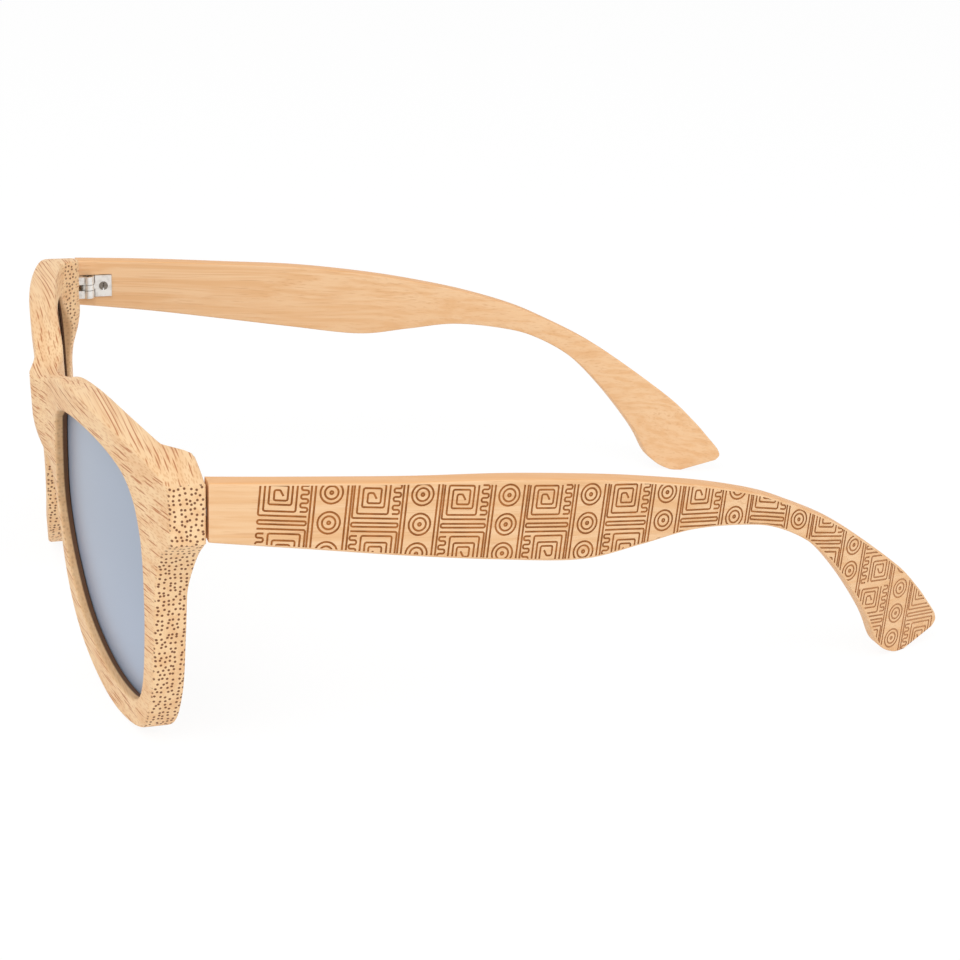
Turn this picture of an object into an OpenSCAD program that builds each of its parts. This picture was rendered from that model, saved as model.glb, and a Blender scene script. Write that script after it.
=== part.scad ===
// Wooden sunglasses with open temples, resting on the rims and the temple tips.
// X runs across the face, the front looks along -Y, and Z is up.

/* [Front] */
// Width over the end pieces
frame_w = 142; // [134:1:152]
// Width of a lens opening
lens_w = 49.8; // [46:0.1:52]
// Height of a lens opening
lens_h = 41; // [36:0.5:46]
// Space between the two lens openings
bridge_w = 19.3; // [17:0.1:22]
// Height of the wood at the middle of the bridge
bridge_h = 12; // [9:0.5:14]
// How far the bridge's top lies below the top of the openings
bridge_drop = 0.9; // [0:0.1:3]
// Radius of the front's curve, seen from above
front_r = 268; // [200:1:340]
// Lean of the front, its lower edge back
front_lean = 2.6; // [0:0.1:5]
// Thickness of the rims
front_t = 5; // [4.8:0.1:6]
// Width of the rim below the lens
rim_low = 5.2; // [4:0.1:7]
// Width of the rim above the lens
rim_brow = 4.7; // [4:0.1:7]
// Width of the rim at the temple side
rim_side = 4.4; // [3.8:0.1:6]
// Width of the rim at the nose
rim_nose = 4.6; // [3.5:0.1:6]
// How far the middle of the bridge stands forward
bridge_crest = 2.1; // [0:0.1:3]
// How far the nose rests stand behind the rims
nose_rest = 2.4; // [0:0.1:4]
// Height of the end pieces that meet the temples
end_h = 9.3; // [8.5:0.1:11]
// How far the end pieces' middle lies below the top of the openings
end_drop = 2.65; // [1:0.05:4]
// Depth of the end pieces at their outer sides
end_t = 5.4; // [4.8:0.1:6.5]
// Rounding of the outer edges
edge_r = 0.6; // [0.4:0.05:1]
// Rounding of the edges at the lens
inner_r = 0.5; // [0.3:0.05:0.8]

/* [Lenses] */
// Thickness of a lens
lens_t = 1.6; // [1.2:0.1:1.8]
// Depth of the lens groove in the rim
groove_depth = 1; // [0.8:0.05:1.4]
// Distance from the rim's front face to the groove
groove_set = 2; // [1.6:0.05:2.2]
// Space between a lens and its groove
lens_fit = 0.15; // [0.1:0.01:0.2]

/* [Temples] */
// Reach of a temple behind the joint
temple_reach = 140; // [125:1:150]
// Greatest height of a temple
temple_h = 13.3; // [11:0.1:15]
// Thickness of a temple
temple_t = 3.4; // [3.2:0.1:5]
// Outward turn of a temple at the joint
temple_splay = 3.8; // [0:0.1:6]
// How far a temple's tip lies inside the joint
tip_in = 22.5; // [10:0.5:26]
// Rounding of the two corners at a temple's tip
tip_r = 3.2; // [1:0.1:4]
// Rounding of a temple's long edges
temple_edge = 0.45; // [0.3:0.05:0.9]
// Gap between a temple's end and the end piece
joint_gap = 0.35; // [0.3:0.05:0.6]

/* [Hinges] */
// Height of a hinge
hinge_h = 4.5; // [4.2:0.1:5]
// How far a hinge lies below the end piece's middle
hinge_drop = 0.6; // [0:0.1:1.2]
// Radius of the knuckles
knuckle_r = 1.35; // [1.25:0.05:1.5]
// Distance from the joint to the pivot
pivot_back = 2.4; // [2.1:0.1:3]
// Diameter of the pivot screw
pivot_d = 1.2; // [1:0.05:1.4]
// Height of the temple leaf's tongue
tongue_h = 1.1; // [0.9:0.05:1.5]
// Thickness of the plate on the temple
plate_t = 1.2; // [0.9:0.05:1.3]
// Length of the plate on the temple
plate_l = 3.4; // [3:0.1:5]
// Thickness of the leaf on the front
leaf_t = 1.1; // [0.8:0.05:1.4]
// Width of the leaf's free end beside the knuckles
leaf_w = 2.4; // [2.2:0.1:2.7]
// Diameter of a wood screw's shank
screw_d = 1; // [0.8:0.05:1.2]
// Diameter of a wood screw's head
screw_head_d = 1.8; // [1.6:0.05:2]
// Length of a wood screw
screw_l = 3; // [2.4:0.1:3.1]
// Space around a pin in its bore
pin_fit = 0.04; // [0.02:0.01:0.08]
// Space between leaves that turn on each other, and around an inlaid leaf
leaf_fit = 0.1; // [0.08:0.01:0.15]

/* [Hidden] */
$fn = 48;

half_w = frame_w / 2;
// The joint plane between end pieces and temples is y = 0 while the pieces are drawn.
front_sag = front_r - sqrt(front_r * front_r - half_w * half_w);
front_y = -end_t - front_sag;
y_middle = (temple_reach + front_y - bridge_crest) / 2;
lens_top = rim_low + lens_h;
end_z = lens_top - end_drop;
hinge_z = end_z - hinge_drop;
bridge_z = lens_top - bridge_drop;

// Round forms through a few points
function blend_point(a, b, c, d, t) =
    0.5 * (2 * b + (c - a) * t + (2 * a - 5 * b + 4 * c - d) * t * t + (3 * b - a - 3 * c + d) * t * t * t);
function held(list, i) = list[min(max(i, 0), len(list) - 1)];
function turned(list, i) = list[(i + len(list)) % len(list)];
function open_point(list, i, t) =
    blend_point(held(list, i - 1), held(list, i), held(list, i + 1), held(list, i + 2), t);
function closed_point(list, i, t) =
    blend_point(turned(list, i - 1), turned(list, i), turned(list, i + 1), turned(list, i + 2), t);
function smooth(t) = let (u = min(max(t, 0), 1)) u * u * (3 - 2 * u);

// The rim round one lens, from the top of the bridge down the nose and round by the temple.
// Each row has the lens edge as shares of the opening, then the rim's outer edge from there
// as shares of the rim's width at that side.
RIM = [
    [0.060, 0.839, 0, 0, 0],
    [0.000, 0.571, 0, 0, 0],
    [0.023, 0.417, -0.91, 0.48, rim_nose],
    [0.122, 0.263, -0.72, -0.78, rim_nose],
    [0.297, 0.115, -0.69, -0.87, rim_low],
    [0.518, 0.030, -0.40, -1.00, rim_low],
    [0.722, 0.002, -0.19, -1.00, rim_low],
    [0.869, 0.029, 0.44, -0.77, rim_low],
    [0.939, 0.141, 0.88, -0.24, rim_side],
    [0.982, 0.373, 0.98, 0.06, rim_side],
    [0.998, 0.568, 1.16, 0.14, rim_side],
    [1.000, 0.678, 1.66, 0.52, rim_side],
    [0.991, 0.773, 0, 0, 0],
    [0.951, 0.890, 0, 0, 0],
    [0.857, 0.968, 2.00, 1.09, rim_brow],
    [0.665, 1.000, 0.81, 0.98, rim_brow],
    [0.416, 0.990, 0.00, 1.02, rim_brow],
    [0.195, 0.949, -0.68, 0.98, rim_brow],
    [0.101, 0.898, -1.83, 0.85, rim_brow]];
// Rows where the rim's edge turns a corner: bridge top, bridge arch, end piece bottom and top
BRIDGE_TOP = 0;
BRIDGE_ARCH = 1;
END_LOW = 12;
END_HIGH = 13;
RIM_STEPS = 3;
// Places between the bridge's top and its arch
SEAM = [0, 0.03, 0.09, 0.36, 0.64, 0.91, 0.97];

LENS_EDGE = [for (r = RIM) [bridge_w / 2 + r[0] * lens_w, rim_low + r[1] * lens_h]];
RIM_EDGE = [for (i = [0:len(RIM) - 1])
    i == BRIDGE_TOP ? [0, bridge_z]
    : i == BRIDGE_ARCH ? [0, bridge_z - bridge_h]
    : i == END_LOW ? [half_w, end_z - end_h / 2]
    : i == END_HIGH ? [half_w, end_z + end_h / 2]
    : LENS_EDGE[i] + RIM[i][4] * [RIM[i][2], RIM[i][3]]];
// The outer edge is smooth between its corners.
// It runs level through the middle of the bridge, so each stretch starts or ends in the other half.
function other_half(p) = [-p[0], p[1]];
LOWER_EDGE = [other_half(RIM_EDGE[BRIDGE_ARCH + 1]), for (i = [BRIDGE_ARCH:END_LOW]) RIM_EDGE[i]];
UPPER_EDGE = [for (i = [END_HIGH:len(RIM)]) turned(RIM_EDGE, i), other_half(turned(RIM_EDGE, -1))];
function rim_edge_point(i, t) =
    i < BRIDGE_ARCH ? RIM_EDGE[BRIDGE_TOP] * (1 - t) + RIM_EDGE[BRIDGE_ARCH] * t
    : i < END_LOW ? open_point(LOWER_EDGE, i - BRIDGE_ARCH + 1, t)
    : i < END_HIGH ? RIM_EDGE[END_LOW] * (1 - t) + RIM_EDGE[END_HIGH] * t
    : open_point(UPPER_EDGE, i - END_HIGH, t);

// Stations round the rim, each with its row, its place between rows and both edges
STATIONS = [for (i = [0:len(RIM) - 1])
    for (t = i == BRIDGE_TOP ? SEAM : [for (k = [0:RIM_STEPS - 1]) k / RIM_STEPS])
        [i, t, closed_point(LENS_EDGE, i, t), rim_edge_point(i, t)]];
STATION_COUNT = len(STATIONS);
SEAM_LAST = len(SEAM);
function on_seam(k) = k <= SEAM_LAST;
function unit(v) = v / norm(v);
function station(k) = turned(STATIONS, k);
// Outward direction of the rim's outer edge at a station
function edge_normal(k) =
    k == 0 ? [0, 1] : k == SEAM_LAST ? [0, -1] : on_seam(k) ? [-1, 0]
    : let (d = unit(station(k + 1)[3] - station(k - 1)[3])) [d[1], -d[0]];

// Front face of the front, and how far behind it the back face lies
function lean_y(z) = tan(front_lean) * (end_z - z);
// The bridge's crest falls off to both sides, and from above its arch to below it.
BRIDGE_CREST_SPREAD = 6;
BRIDGE_CREST_FADE = [4.7, -7.3];
function crest(x, z) =
    bridge_crest * exp(-pow(x / BRIDGE_CREST_SPREAD, 2))
    * smooth((z - bridge_z + bridge_h - BRIDGE_CREST_FADE[1]) / (BRIDGE_CREST_FADE[0] - BRIDGE_CREST_FADE[1]));
function lens_face_y(x, z) = front_y + front_r - sqrt(front_r * front_r - x * x) + lean_y(z);
function front_face_y(x, z) = lens_face_y(x, z) - crest(x, z);
NOSE_REST_AT = [8.3, 17];
NOSE_REST_SPREAD = [4.5, 6.5];
END_BLOCK_X = [14, 8.8];
END_BLOCK_Z = [11, -0.6];
function nose_swell(x, z) =
    nose_rest * exp(-pow((x - NOSE_REST_AT[0]) / NOSE_REST_SPREAD[0], 2)
                    - pow((z - NOSE_REST_AT[1]) / NOSE_REST_SPREAD[1], 2));
function end_share(x, z) =
    smooth((x - half_w + END_BLOCK_X[0]) / (END_BLOCK_X[0] - END_BLOCK_X[1]))
    * smooth((z - end_z + end_h / 2 + END_BLOCK_Z[0]) / (END_BLOCK_Z[0] - END_BLOCK_Z[1]));
function back_depth(x, z) =
    let (plain = front_t + nose_swell(x, z), share = end_share(x, z))
    plain * (1 - share) - front_face_y(x, z) * share;

groove_back = groove_set + lens_t + 2 * lens_fit;
// Share of a rounding at the middle of its arc
ROUND_MID = 0.3;
// Places across the front and back faces, as shares of the rim's width
FACE_SHARES = [0.3, 0.65];
// Faces that a depth in the section is taken from; the lens face leaves out the bridge's crest
FRONT_FACE = 0;
BACK_FACE = 1;
LENS_FACE = 2;
// Outline across the rim at a station: place from lens edge to outer edge, depth and its face
function rim_section(k) =
    let (s = station(k),
         across = s[3] - s[2],
         w = norm(across),
         n = across / w,
         inset = min(edge_r / max(0.45, n * edge_normal(k)), w / 3),
         open = !on_seam(k) || k == 0 || k == SEAM_LAST,
         seam_run = min(s[1], 1 - s[1]) * bridge_h,
         seam_drop = seam_run < edge_r ? edge_r - sqrt(edge_r * edge_r - pow(edge_r - seam_run, 2)) : 0,
         mid = open ? ROUND_MID * edge_r : seam_drop,
         rim = open ? edge_r : seam_drop)
    [[0, groove_set, LENS_FACE], [0, inner_r, FRONT_FACE],
     [ROUND_MID * inner_r, ROUND_MID * inner_r, FRONT_FACE], [inner_r, 0, FRONT_FACE],
     for (f = FACE_SHARES) [f * w, 0, FRONT_FACE],
     [w - inset, open ? 0 : seam_drop, FRONT_FACE], [w - ROUND_MID * inset, mid, FRONT_FACE], [w, rim, FRONT_FACE],
     [w, -rim, BACK_FACE], [w - ROUND_MID * inset, -mid, BACK_FACE],
     [w - inset, open ? 0 : -seam_drop, BACK_FACE],
     for (i = [len(FACE_SHARES) - 1:-1:0]) [FACE_SHARES[i] * w, 0, BACK_FACE],
     [inner_r, 0, BACK_FACE], [0, -inner_r, BACK_FACE],
     [0, groove_back, LENS_FACE], [groove_depth, groove_back, LENS_FACE], [groove_depth, groove_set, LENS_FACE]];
SECTION_COUNT = len(rim_section(0));
// The two points of a section that lie on the seam
SEAM_FRONT = 8;
SEAM_BACK = 9;

function rim_point(k, p) =
    let (s = station(k),
         w = norm(s[3] - s[2]),
         at = p[0] == w ? s[3] : s[2] + (s[3] - s[2]) * p[0] / w,
         face = p[2] == LENS_FACE ? lens_face_y(at[0], at[1]) : front_face_y(at[0], at[1]),
         depth = p[1] + (p[2] == BACK_FACE ? back_depth(at[0], at[1]) : 0))
    [at[0], face + depth, at[1]];
RIM_POINTS = [for (k = [0:STATION_COUNT - 1]) for (p = rim_section(k)) rim_point(k, p)];
function rim_index(k, i) = (k % STATION_COUNT) * SECTION_COUNT + i % SECTION_COUNT;
// The mirrored rim shares the points on the seam at the middle of the bridge.
function mirror_index(k, i) =
    let (kk = k % STATION_COUNT, ii = i % SECTION_COUNT)
    rim_index(k, i) + (on_seam(kk) && (ii == SEAM_FRONT || ii == SEAM_BACK) ? 0 : len(RIM_POINTS));
function seam_face(k, i) = i == SEAM_FRONT && k < SEAM_LAST;

module rim_pair() {
    quads = [for (k = [0:STATION_COUNT - 1]) for (i = [0:SECTION_COUNT - 1]) if (!seam_face(k, i)) [k, i]];
    left = [for (q = quads) let (k = q[0], i = q[1])
        each [[rim_index(k, i), rim_index(k + 1, i), rim_index(k + 1, i + 1)],
              [rim_index(k, i), rim_index(k + 1, i + 1), rim_index(k, i + 1)]]];
    right = [for (q = quads) let (k = q[0], i = q[1])
        each [[mirror_index(k, i), mirror_index(k + 1, i + 1), mirror_index(k + 1, i)],
              [mirror_index(k, i), mirror_index(k, i + 1), mirror_index(k + 1, i + 1)]]];
    mirrored = [for (p = RIM_POINTS) [-p[0], p[1], p[2]]];
    polyhedron(concat(RIM_POINTS, mirrored), concat(left, right), convexity = 6);
}

// One temple: rows of the middle line's place along the reach and above the table, the height
// there, and how far the section leans back
TEMPLE = [
    [0.000, 1.018, 0.70, 0],
    [0.111, 0.983, 0.79, 5],
    [0.219, 0.944, 0.89, 7],
    [0.329, 0.906, 0.99, 8],
    [0.436, 0.864, 1.00, 9],
    [0.517, 0.853, 0.80, 17],
    [0.586, 0.842, 0.58, 24],
    [0.657, 0.800, 0.44, 32],
    [0.710, 0.744, 0.35, 36],
    [0.771, 0.641, 0.39, 44],
    [0.827, 0.497, 0.54, 46],
    [0.887, 0.309, 0.78, 48],
    [0.917, 0.186, 0.93, 53],
    [0.947, 0.096, 0.92, 72]];
// The blunt end beyond the last row is rounded at its two corners.
TIP_TURNS = [20, 40, 60, 80];
TEMPLE_STEPS = 3;
TIP = TEMPLE[len(TEMPLE) - 1];
function tip_row(turn) =
    [TIP[0] + tip_r * sin(turn) * cos(TIP[3]) / temple_reach, TIP[1] - tip_r * sin(turn) * sin(TIP[3]) / hinge_z,
     TIP[2] - 2 * tip_r * (1 - cos(turn)) / temple_h, TIP[3]];
TEMPLE_ROWS = [for (i = [0:len(TEMPLE) - 2]) for (k = [0:TEMPLE_STEPS - 1])
    open_point(TEMPLE, i, k / TEMPLE_STEPS), TIP, for (turn = TIP_TURNS) tip_row(turn)];
// Inward offset of a temple at a distance behind the joint
function plan_in(y) =
    let (splay = tan(temple_splay), share = max(y, 0) / temple_reach)
    -splay * max(y, 0) + (tip_in + splay * temple_reach) * share * share;
CORNER_TURNS = [0, 30, 60, 90];
function temple_section(h) =
    [for (c = [0:3]) for (a = CORNER_TURNS)
        let (out = [c == 0 || c == 3 ? 1 : -1, c < 2 ? 1 : -1], turn = a + 90 * c)
        [out[0] * (temple_t / 2 - temple_edge) + temple_edge * cos(turn),
         out[1] * (h / 2 - temple_edge) + temple_edge * sin(turn)]];
TEMPLE_SIDES = 4 * len(CORNER_TURNS);
function temple_point(row, p) =
    let (y = joint_gap + row[0] * (temple_reach - joint_gap) + p[1] * sin(row[3]),
         z = row[1] * hinge_z + p[1] * cos(row[3]))
    [half_w - temple_t / 2 + p[0] - plan_in(y), y, z];

module temple_wood() {
    points = [for (row = TEMPLE_ROWS) for (p = temple_section(row[2] * temple_h)) temple_point(row, p)];
    last = len(TEMPLE_ROWS) - 1;
    walls = [for (k = [0:last - 1]) for (j = [0:TEMPLE_SIDES - 1])
        let (a = k * TEMPLE_SIDES + j, b = k * TEMPLE_SIDES + (j + 1) % TEMPLE_SIDES)
        each [[a, b, b + TEMPLE_SIDES], [a, b + TEMPLE_SIDES, a + TEMPLE_SIDES]]];
    front_end = [for (j = [TEMPLE_SIDES - 1:-1:0]) j];
    tip_end = [for (j = [0:TEMPLE_SIDES - 1]) last * TEMPLE_SIDES + j];
    polyhedron(points, concat(walls, [front_end, tip_end]), convexity = 6);
}

// Hinge places, from the inner face of the temple
inner_x = half_w - temple_t;
PIVOT_IN = 0.3;
pivot_x = inner_x - PIVOT_IN;
pocket_x = pivot_x + knuckle_r + leaf_fit;
leaf_x = pivot_x - knuckle_r - leaf_w;
plate_y = pivot_back + knuckle_r + 2 * leaf_fit;
plate_screw_y = plate_y + plate_l / 2;
leaf_screw_x = leaf_x + leaf_w / 2;
leaf_screw_rise = hinge_h / 4;
head_h = (screw_head_d - screw_d) / 2;
knuckle_neck = 0.8 * knuckle_r;
PIVOT_HEAD_D = 2;
PIVOT_HEAD_H = 0.5;
SLOT_W = 0.3;
SLOT_DEPTH = 0.25;

module side(s) {
    translate([0, -y_middle, 0]) mirror([s < 0 ? 1 : 0, 0, 0]) children();
}
module at_pivot() {
    translate([pivot_x, pivot_back, hinge_z]) children();
}
module middle_box(low, high, z, h) {
    translate([low[0], low[1], z - h / 2]) cube([high[0] - low[0], high[1] - low[1], h]);
}
// A countersunk screw along +X with the flat of its head at the origin
module screw_form(grow) {
    rotate([0, 90, 0]) {
        cylinder(d1 = screw_head_d + 2 * grow, d2 = screw_d + 2 * grow, h = head_h);
        cylinder(d = screw_d + 2 * grow, h = screw_l + grow);
    }
}
module wood_screw() {
    color("silver") difference() {
        screw_form(0);
        translate([0, -SLOT_W / 2, -screw_head_d]) cube([2 * SLOT_DEPTH, SLOT_W, 2 * screw_head_d], false);
    }
}
module at_leaf_screw(up) {
    translate([leaf_screw_x, 0, hinge_z + up * leaf_screw_rise]) rotate([0, 0, -90]) children();
}
module at_plate_screw() {
    translate([pocket_x - plate_t, plate_screw_y, hinge_z]) children();
}
module leaf_plate(grow) {
    middle_box([leaf_x - grow, -leaf_t], [pivot_x + knuckle_r + grow, grow], hinge_z, hinge_h + 2 * grow);
}

module front_frame() {
    color("burlywood") translate([0, -y_middle, 0]) difference() {
        rim_pair();
        for (m = [0, 1]) mirror([m, 0, 0]) {
            leaf_plate(leaf_fit);
            for (up = [-1, 1]) at_leaf_screw(up) screw_form(pin_fit);
        }
    }
}
LENS_FACETS = 200;
module lens_blank() {
    edge = [for (s = STATIONS) s[2] + unit(s[2] - s[3]) * (lens_fit - groove_depth)];
    intersection() {
        rotate([90, 0, 0]) translate([0, 0, -frame_w]) linear_extrude(2 * frame_w) polygon(edge);
        translate([0, front_y, end_z]) rotate([front_lean, 0, 0]) translate([0, front_r, -end_z]) difference() {
            cylinder(r = front_r - groove_set - lens_fit, h = 2 * lens_top, $fn = LENS_FACETS);
            translate([0, 0, -lens_t])
                cylinder(r = front_r - groove_set - lens_fit - lens_t, h = 2 * (lens_top + lens_t), $fn = LENS_FACETS);
        }
    }
}
module lens(s) {
    color("lightsteelblue") side(s) lens_blank();
}
module temple(s) {
    color("burlywood") side(s) difference() {
        temple_wood();
        middle_box([inner_x - temple_t, -joint_gap], [pocket_x, plate_y + plate_l + leaf_fit], hinge_z,
                   hinge_h + 2 * leaf_fit);
        at_plate_screw() screw_form(pin_fit);
    }
}
module front_hinge(s) {
    tooth_h = (hinge_h - tongue_h) / 2 - leaf_fit;
    color("silver") side(s) difference() {
        union() {
            leaf_plate(0);
            for (up = [-1, 1]) at_pivot() translate([0, 0, up * (hinge_h - tooth_h) / 2]) {
                cylinder(r = knuckle_r, h = tooth_h, center = true);
                translate([-knuckle_neck, -pivot_back, -tooth_h / 2]) cube([2 * knuckle_neck, pivot_back, tooth_h]);
            }
        }
        at_pivot() cylinder(d = pivot_d + 2 * pin_fit, h = 2 * hinge_h, center = true);
        at_pivot() translate([0, 0, hinge_h / 2 - PIVOT_HEAD_H]) cylinder(d = PIVOT_HEAD_D + 2 * pin_fit, h = hinge_h);
        for (up = [-1, 1]) at_leaf_screw(up) screw_form(pin_fit);
    }
}
module temple_hinge(s) {
    color("silver") side(s) difference() {
        union() {
            middle_box([pocket_x - plate_t, plate_y], [pocket_x, plate_y + plate_l], hinge_z, hinge_h);
            at_pivot() cylinder(r = knuckle_r, h = tongue_h, center = true);
            middle_box([pocket_x - plate_t, pivot_back], [pocket_x - leaf_fit, plate_y + leaf_fit], hinge_z, tongue_h);
        }
        at_pivot() cylinder(d = pivot_d + 2 * pin_fit, h = 2 * hinge_h, center = true);
        at_plate_screw() screw_form(pin_fit);
    }
}
module hinge_screw(s) {
    color("silver") side(s) at_pivot() difference() {
        union() {
            translate([0, 0, -hinge_h / 2]) cylinder(d = pivot_d, h = hinge_h);
            translate([0, 0, hinge_h / 2 - PIVOT_HEAD_H]) cylinder(d = PIVOT_HEAD_D, h = PIVOT_HEAD_H);
        }
        translate([-PIVOT_HEAD_D, -SLOT_W / 2, hinge_h / 2 - SLOT_DEPTH]) cube([2 * PIVOT_HEAD_D, SLOT_W, hinge_h]);
    }
}
module front_hinge_screw(s, up) {
    side(s) at_leaf_screw(up) wood_screw();
}
module temple_hinge_screw(s) {
    side(s) at_plate_screw() wood_screw();
}

front_frame();
lens(1);  // lens_left
lens(-1);  // lens_right
temple(1);  // temple_left
temple(-1);  // temple_right
front_hinge(1);  // front_hinge_left
front_hinge(-1);  // front_hinge_right
temple_hinge(1);  // temple_hinge_left
temple_hinge(-1);  // temple_hinge_right
hinge_screw(1);  // hinge_screw_left
hinge_screw(-1);  // hinge_screw_right
front_hinge_screw(1, 1);  // front_hinge_screw_upper_left
front_hinge_screw(1, -1);  // front_hinge_screw_lower_left
front_hinge_screw(-1, 1);  // front_hinge_screw_upper_right
front_hinge_screw(-1, -1);  // front_hinge_screw_lower_right
temple_hinge_screw(1);  // temple_hinge_screw_left
temple_hinge_screw(-1);  // temple_hinge_screw_right
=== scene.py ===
"""Looks of the wooden sunglasses: front, lenses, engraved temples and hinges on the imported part."""
import math

import bmesh
import bpy
import numpy as np
from mathutils import Matrix, Vector
from mathutils.geometry import delaunay_2d_cdt


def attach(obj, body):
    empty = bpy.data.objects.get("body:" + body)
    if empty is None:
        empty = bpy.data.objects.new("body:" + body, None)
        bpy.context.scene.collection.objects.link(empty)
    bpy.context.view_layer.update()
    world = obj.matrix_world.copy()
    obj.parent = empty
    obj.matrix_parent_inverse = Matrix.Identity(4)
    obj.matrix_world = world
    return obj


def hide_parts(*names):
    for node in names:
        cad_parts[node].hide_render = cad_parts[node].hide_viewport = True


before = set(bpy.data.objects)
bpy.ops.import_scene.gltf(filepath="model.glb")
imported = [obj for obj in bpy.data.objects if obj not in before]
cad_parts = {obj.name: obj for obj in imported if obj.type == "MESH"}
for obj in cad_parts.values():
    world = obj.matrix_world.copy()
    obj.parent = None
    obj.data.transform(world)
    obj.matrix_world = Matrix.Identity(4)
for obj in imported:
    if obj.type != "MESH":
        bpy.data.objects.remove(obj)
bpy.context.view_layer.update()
scene = bpy.context.scene
scene.view_settings.view_transform = "Standard"

# Front: one solid piece of laminated bamboo with its fibres across the face. Its section runs
# round each lens opening with a lens groove, rounded edges, nose rests and flat end blocks.
HALF_W = 71.0
LENS_W, LENS_H = 49.8, 41.0
BRIDGE_W, BRIDGE_H, BRIDGE_DROP = 19.3, 12.0, 0.9
FRONT_R, FRONT_LEAN, FRONT_T = 268.0, math.radians(2.6), 5.0
RIM_LOW, RIM_BROW, RIM_SIDE, RIM_NOSE = 5.2, 4.7, 4.4, 4.6
BRIDGE_CREST, BRIDGE_CREST_SPREAD, BRIDGE_CREST_FADE = 2.1, 6.0, (4.7, -7.3)
NOSE_REST, NOSE_REST_AT, NOSE_REST_SPREAD = 2.4, (8.3, 17.0), (4.5, 6.5)
END_H, END_DROP, END_T = 9.3, 2.65, 5.4
END_BLOCK_X, END_BLOCK_Z = (14.0, 8.8), (11.0, -0.6)
EDGE_R, INNER_R = 0.6, 0.5
LENS_T, GROOVE_DEPTH, GROOVE_SET, LENS_FIT = 1.6, 1.0, 2.0, 0.15
LENS_TOP = RIM_LOW + LENS_H
END_Z = LENS_TOP - END_DROP
BRIDGE_Z = LENS_TOP - BRIDGE_DROP
FRONT_Y = -END_T - (FRONT_R - math.sqrt(FRONT_R ** 2 - HALF_W ** 2))

# Lens edge as shares of the opening, then the outer edge from there as shares of the rim's width
RIM = [
    (0.060, 0.839, 0, 0, 0), (0.000, 0.571, 0, 0, 0),
    (0.023, 0.417, -0.91, 0.48, RIM_NOSE), (0.122, 0.263, -0.72, -0.78, RIM_NOSE),
    (0.297, 0.115, -0.69, -0.87, RIM_LOW), (0.518, 0.030, -0.40, -1.00, RIM_LOW),
    (0.722, 0.002, -0.19, -1.00, RIM_LOW), (0.869, 0.029, 0.44, -0.77, RIM_LOW),
    (0.939, 0.141, 0.88, -0.24, RIM_SIDE), (0.982, 0.373, 0.98, 0.06, RIM_SIDE),
    (0.998, 0.568, 1.16, 0.14, RIM_SIDE), (1.000, 0.678, 1.66, 0.52, RIM_SIDE),
    (0.991, 0.773, 0, 0, 0), (0.951, 0.890, 0, 0, 0),
    (0.857, 0.968, 2.00, 1.09, RIM_BROW), (0.665, 1.000, 0.81, 0.98, RIM_BROW),
    (0.416, 0.990, 0.00, 1.02, RIM_BROW), (0.195, 0.949, -0.68, 0.98, RIM_BROW),
    (0.101, 0.898, -1.83, 0.85, RIM_BROW)]
BRIDGE_TOP, BRIDGE_ARCH, END_LOW, END_HIGH = 0, 1, 12, 13
CORNERS = {BRIDGE_TOP: (0, BRIDGE_Z), BRIDGE_ARCH: (0, BRIDGE_Z - BRIDGE_H),
           END_LOW: (HALF_W, END_Z - END_H / 2), END_HIGH: (HALF_W, END_Z + END_H / 2)}
LENS_EDGE = [np.array([BRIDGE_W / 2 + r[0] * LENS_W, RIM_LOW + r[1] * LENS_H]) for r in RIM]
RIM_EDGE = [np.array(CORNERS[i], float) if i in CORNERS else LENS_EDGE[i] + r[4] * np.array(r[2:4])
            for i, r in enumerate(RIM)]
OTHER_HALF = np.array([-1, 1])
LOWER_EDGE = [RIM_EDGE[BRIDGE_ARCH + 1] * OTHER_HALF] + RIM_EDGE[BRIDGE_ARCH:END_LOW + 1]
UPPER_EDGE = RIM_EDGE[END_HIGH:] + [RIM_EDGE[BRIDGE_TOP], RIM_EDGE[-1] * OTHER_HALF]
RIM_STEPS = 10
SEAM = [0, 0.0125, 0.025, 0.0375, 0.05, 0.2, 0.35, 0.5, 0.65, 0.8, 0.95, 0.9625, 0.975, 0.9875]


def blend_point(a, b, c, d, t):
    """A point between b and c on the smooth curve through a, b, c and d."""
    second, third = 2 * a - 5 * b + 4 * c - d, 3 * b - a - 3 * c + d
    return 0.5 * (2 * b + (c - a) * t + second * t ** 2 + third * t ** 3)


def open_point(rows, i, t):
    last = len(rows) - 1
    return blend_point(*(rows[min(max(k, 0), last)] for k in (i - 1, i, i + 1, i + 2)), t)


def closed_point(rows, i, t):
    count = len(rows)
    return blend_point(*(rows[k % count] for k in (i - 1, i, i + 1, i + 2)), t)


def smooth(t):
    u = min(max(t, 0.0), 1.0)
    return u * u * (3 - 2 * u)


def rim_edge_point(i, t):
    if i < BRIDGE_ARCH:
        return RIM_EDGE[BRIDGE_TOP] * (1 - t) + RIM_EDGE[BRIDGE_ARCH] * t
    if i < END_LOW:
        return open_point(LOWER_EDGE, i - BRIDGE_ARCH + 1, t)
    if i < END_HIGH:
        return RIM_EDGE[END_LOW] * (1 - t) + RIM_EDGE[END_HIGH] * t
    return open_point(UPPER_EDGE, i - END_HIGH, t)


STATIONS = [(t, closed_point(LENS_EDGE, i, t), rim_edge_point(i, t)) for i in range(len(RIM))
            for t in (SEAM if i == BRIDGE_TOP else [k / RIM_STEPS for k in range(RIM_STEPS)])]
SEAM_LAST = len(SEAM)


def lens_face_y(x, z):
    """The curved and leaning sheet that lenses and front follow."""
    return FRONT_Y + FRONT_R - math.sqrt(FRONT_R ** 2 - x * x) + math.tan(FRONT_LEAN) * (END_Z - z)


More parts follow.
